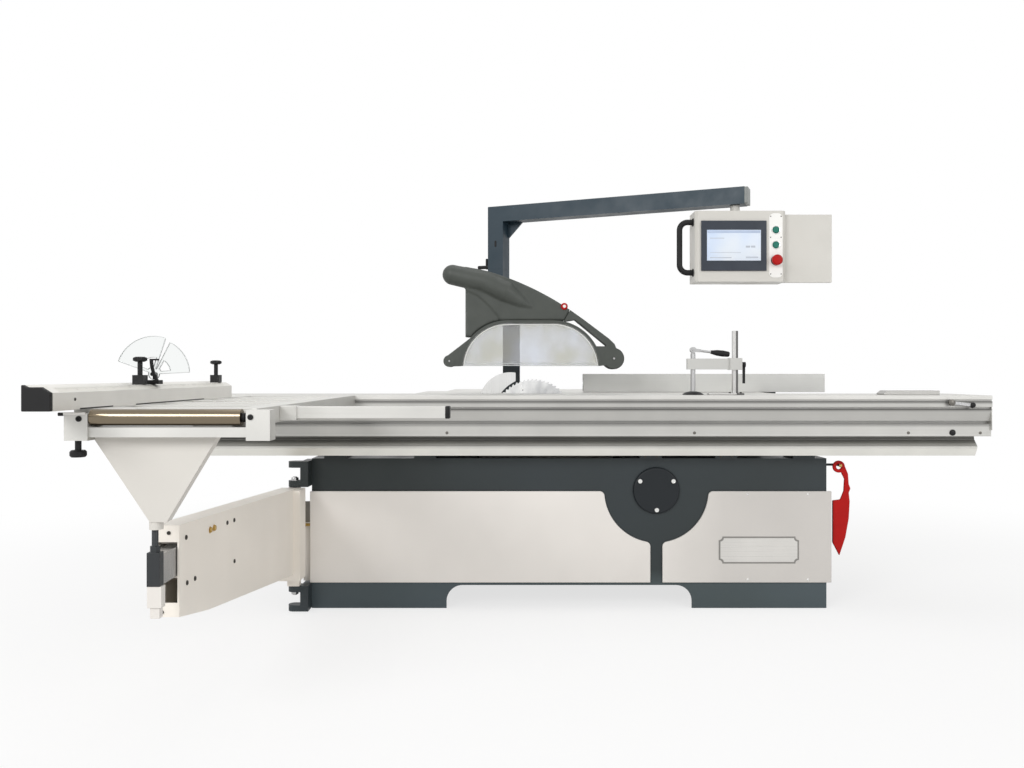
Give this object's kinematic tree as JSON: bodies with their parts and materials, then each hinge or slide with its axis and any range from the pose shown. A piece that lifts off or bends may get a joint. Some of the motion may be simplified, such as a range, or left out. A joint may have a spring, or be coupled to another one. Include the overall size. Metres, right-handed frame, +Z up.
{
  "type": "sliding table saw",
  "caption": "Sliding table saw with a long travelling table, slatted outrigger on a swing arm, mitre fence, overhead blade guard and a boom-mounted control panel.",
  "frame": {"origin": "centre of the bounding box in plan, at floor level", "axes": "+X along the table's travel towards the free end, +Y from the operator's side to the rip side, +Z up"},
  "size_m": [3.2, 3.176, 1.764],
  "materials": {
    "frame_paint": "semi-matt dark blue-grey paint",
    "cover_paint": "satin warm white paint",
    "aluminium": "anodised, fine brushed lines along X",
    "cast_iron": "ground top, light tool marks",
    "steel": "turned or brushed",
    "chrome": "polished tube",
    "black_plastic": "fine grain",
    "hood_plastic": "moulded, satin grey",
    "clear_plastic": "clear acrylic sheet",
    "red_plastic": "moulded red",
    "green_plastic": "moulded green",
    "rubber": "black rubber"
  },
  "bodies": {
    "base": {"base_frame": "frame_paint", "cover_panels": "cover_paint", "round_cover": "frame_paint", "hinge_brackets": "frame_paint", "slide_rail": "aluminium", "main_table": "cast_iron", "extension_table": "cast_iron", "rip_rail": "steel", "guard_post": "frame_paint", "pillar_socket": "frame_paint", "dust_outlet": "steel"},
    "sliding_table": {"table_beam": "aluminium", "crosscut_frame": "aluminium", "triangle_support": "cover_paint", "support_bar": "aluminium", "edge_shoe": "aluminium", "clamp_post": "steel"},
    "support_roller": {"support_roller": "chrome"},
    "level_knob": {"level_knob": "black_plastic"},
    "mitre_fence": {"fence_profile": "aluminium", "fence_end_cap": "black_plastic"},
    "front_stop": {"front_stop": "black_plastic"},
    "rear_stop": {"rear_stop": "black_plastic"},
    "flag_stop": {"flag_stem": "black_plastic"},
    "flags": {"clear_flags": "clear_plastic"},
    "lock_lever": {"table_lock_lever": "steel"},
    "clamp_arm": {"clamp_arm": "cover_paint"},
    "clamp_spindle": {"clamp_spindle": "steel", "clamp_pad": "rubber"},
    "cam_lever": {"cam_lever": "steel", "cam_grip": "black_plastic"},
    "post_lever": {"post_lever": "black_plastic"},
    "swing_arm": {"swing_arm": "cover_paint"},
    "inner_arm": {"inner_arm": "steel", "arm_post": "frame_paint"},
    "tilt_frame": {"tilt_frame": "cast_iron"},
    "saw_carriage": {"saw_carriage": "cast_iron", "main_motor": "frame_paint", "drive_belt": "rubber", "riving_knife": "steel"},
    "arbor": {"main_arbor": "steel", "main_blade": "steel"},
    "motor_pulley": {"motor_pulley": "steel"},
    "scoring_saw": {"scoring_saw": "steel"},
    "rip_fence": {"rip_fence_profile": "aluminium", "rip_fence_head": "frame_paint"},
    "guard": {"hood_shell": "hood_plastic", "guard_frame": "hood_plastic", "clear_guard": "clear_plastic"},
    "hold_down_roller": {"hold_down_roller": "rubber"},
    "hood_knob": {"hood_knob": "red_plastic"},
    "control_arm": {"control_arm": "frame_paint"},
    "panel": {"panel_box": "cover_paint", "touch_screen": "black_plastic", "panel_handle": "black_plastic", "side_plate": "cover_paint"},
    "start_button": {"start_button": "green_plastic"},
    "reset_button": {"reset_button": "green_plastic"},
    "e_stop": {"e_stop": "red_plastic"},
    "push_stick": {"push_stick": "red_plastic"}
  },
  "joints": [
    {"name": "table_travel", "type": "slide", "parent": "base", "child": "sliding_table", "axis": [1, 0, 0], "range_m": [-1.5, 1.5]},
    {"name": "swing_arm_hinge", "type": "hinge", "parent": "base", "child": "swing_arm", "pos_m": [-1.207, 0.058, 0.3], "axis": [0, 0, 1], "range_deg": [-46.3, 46.3]},
    {"name": "arm_telescope", "type": "slide", "parent": "swing_arm", "child": "inner_arm", "axis": [0, -1, 0], "range_m": [0, 0.64]},
    {"name": "roller_spin", "type": "hinge", "parent": "sliding_table", "child": "support_roller", "pos_m": [-1.17, -1.421, 0.8595], "axis": [1, 0, 0], "continuous": true},
    {"name": "level_knob_turn", "type": "hinge", "parent": "sliding_table", "child": "level_knob", "pos_m": [-1.378, -1.421, 0.79], "axis": [0, 0, 1], "range_deg": [-180, 180]},
    {"name": "mitre_swing", "type": "hinge", "parent": "sliding_table", "child": "mitre_fence", "pos_m": [-1.386, -0.366, 0.88], "axis": [0, 0, 1], "range_deg": [-45, 45]},
    {"name": "front_stop_slide", "type": "slide", "parent": "mitre_fence", "child": "front_stop", "axis": [0, 1, 0], "range_m": [-0.5, 0.02]},
    {"name": "rear_stop_slide", "type": "slide", "parent": "mitre_fence", "child": "rear_stop", "axis": [0, 1, 0], "range_m": [-0.25, 0.005]},
    {"name": "flag_stop_slide", "type": "slide", "parent": "mitre_fence", "child": "flag_stop", "axis": [0, 1, 0], "range_m": [0, 0.25]},
    {"name": "flag_tip", "type": "hinge", "parent": "flag_stop", "child": "flags", "pos_m": [-1.38, -0.952, 0.9653], "axis": [0, 1, 0], "range_deg": [-25, 10]},
    {"name": "lock_lever_turn", "type": "hinge", "parent": "sliding_table", "child": "lock_lever", "pos_m": [1.43, -0.022, 0.852], "axis": [0, 1, 0], "range_deg": [0, 90]},
    {"name": "clamp_height", "type": "slide", "parent": "sliding_table", "child": "clamp_arm", "axis": [0, 0, 1], "range_m": [0, 0.1]},
    {"name": "clamp_stroke", "type": "slide", "parent": "clamp_arm", "child": "clamp_spindle", "axis": [0, 0, 1], "range_m": [0, 0.015]},
    {"name": "cam_turn", "type": "hinge", "parent": "clamp_spindle", "child": "cam_lever", "pos_m": [0.429, 0.123, 1.066], "axis": [0, 1, 0], "range_deg": [-110, 0]},
    {"name": "post_lever_turn", "type": "hinge", "parent": "clamp_arm", "child": "post_lever", "pos_m": [0.64, 0.123, 1.005], "axis": [1, 0, 0], "range_deg": [-90, 90]},
    {"name": "blade_tilt", "type": "hinge", "parent": "base", "child": "tilt_frame", "pos_m": [-0.15, 0.379, 0.88], "axis": [-1, 0, 0], "range_deg": [0, 45]},
    {"name": "blade_lift", "type": "slide", "parent": "tilt_frame", "child": "saw_carriage", "axis": [0, 0, 1], "range_m": [-0.07, 0.03]},
    {"name": "arbor_spin", "type": "hinge", "parent": "saw_carriage", "child": "arbor", "pos_m": [-0.228, 0.379, 0.77], "axis": [0, 1, 0], "continuous": true},
    {"name": "motor_spin", "type": "hinge", "parent": "saw_carriage", "child": "motor_pulley", "pos_m": [0.04, 0.379, 0.645], "axis": [0, 1, 0], "continuous": true},
    {"name": "scoring_spin", "type": "hinge", "parent": "tilt_frame", "child": "scoring_saw", "pos_m": [0.045, 0.379, 0.814], "axis": [0, 1, 0], "continuous": true},
    {"name": "rip_fence_slide", "type": "slide", "parent": "base", "child": "rip_fence", "axis": [0, 1, 0], "range_m": [-0.2, 0.78]},
    {"name": "guard_height", "type": "slide", "parent": "base", "child": "guard", "axis": [0, 0, 1], "range_m": [-0.02, 0.13]},
    {"name": "hold_down_spin", "type": "hinge", "parent": "guard", "child": "hold_down_roller", "pos_m": [0.125, 0.383, 1.034], "axis": [0, 1, 0], "continuous": true},
    {"name": "hood_knob_turn", "type": "hinge", "parent": "guard", "child": "hood_knob", "pos_m": [-0.093, 0.323, 1.262], "axis": [0, 1, 0], "range_deg": [-90, 90]},
    {"name": "boom_swivel", "type": "hinge", "parent": "base", "child": "control_arm", "pos_m": [-0.386, 0.708, 1.7], "axis": [0, 0, 1], "range_deg": [-60, 60]},
    {"name": "panel_swivel", "type": "hinge", "parent": "control_arm", "child": "panel", "pos_m": [0.63821, 0.26478, 1.691], "axis": [0, 0, 1], "range_deg": [-60, 60]},
    {"name": "start_press", "type": "slide", "parent": "panel", "child": "start_button", "axis": [0, 1, 0], "range_m": [0, 0.003], "stiffness_N_per_m": 900, "springref_m": -0.001},
    {"name": "reset_press", "type": "slide", "parent": "panel", "child": "reset_button", "axis": [0, 1, 0], "range_m": [0, 0.003], "stiffness_N_per_m": 900, "springref_m": -0.001},
    {"name": "e_stop_press", "type": "slide", "parent": "panel", "child": "e_stop", "axis": [0, 1, 0], "range_m": [0, 0.004], "stiffness_N_per_m": 1500, "springref_m": -0.001},
    {"name": "push_stick_lift_off", "type": "slide", "parent": "base", "child": "push_stick", "axis": [0, -1, 0], "range_m": [0, 0.06]}
  ],
  "couplings": [
    {"joint": "swing_arm_hinge", "follows": "table_travel", "rad_per_m": 0.5376},
    {"joint": "cam_turn", "follows": "clamp_stroke", "rad_per_m": -127.9},
    {"joint": "motor_spin", "follows": "arbor_spin", "ratio": 1}
  ]
}
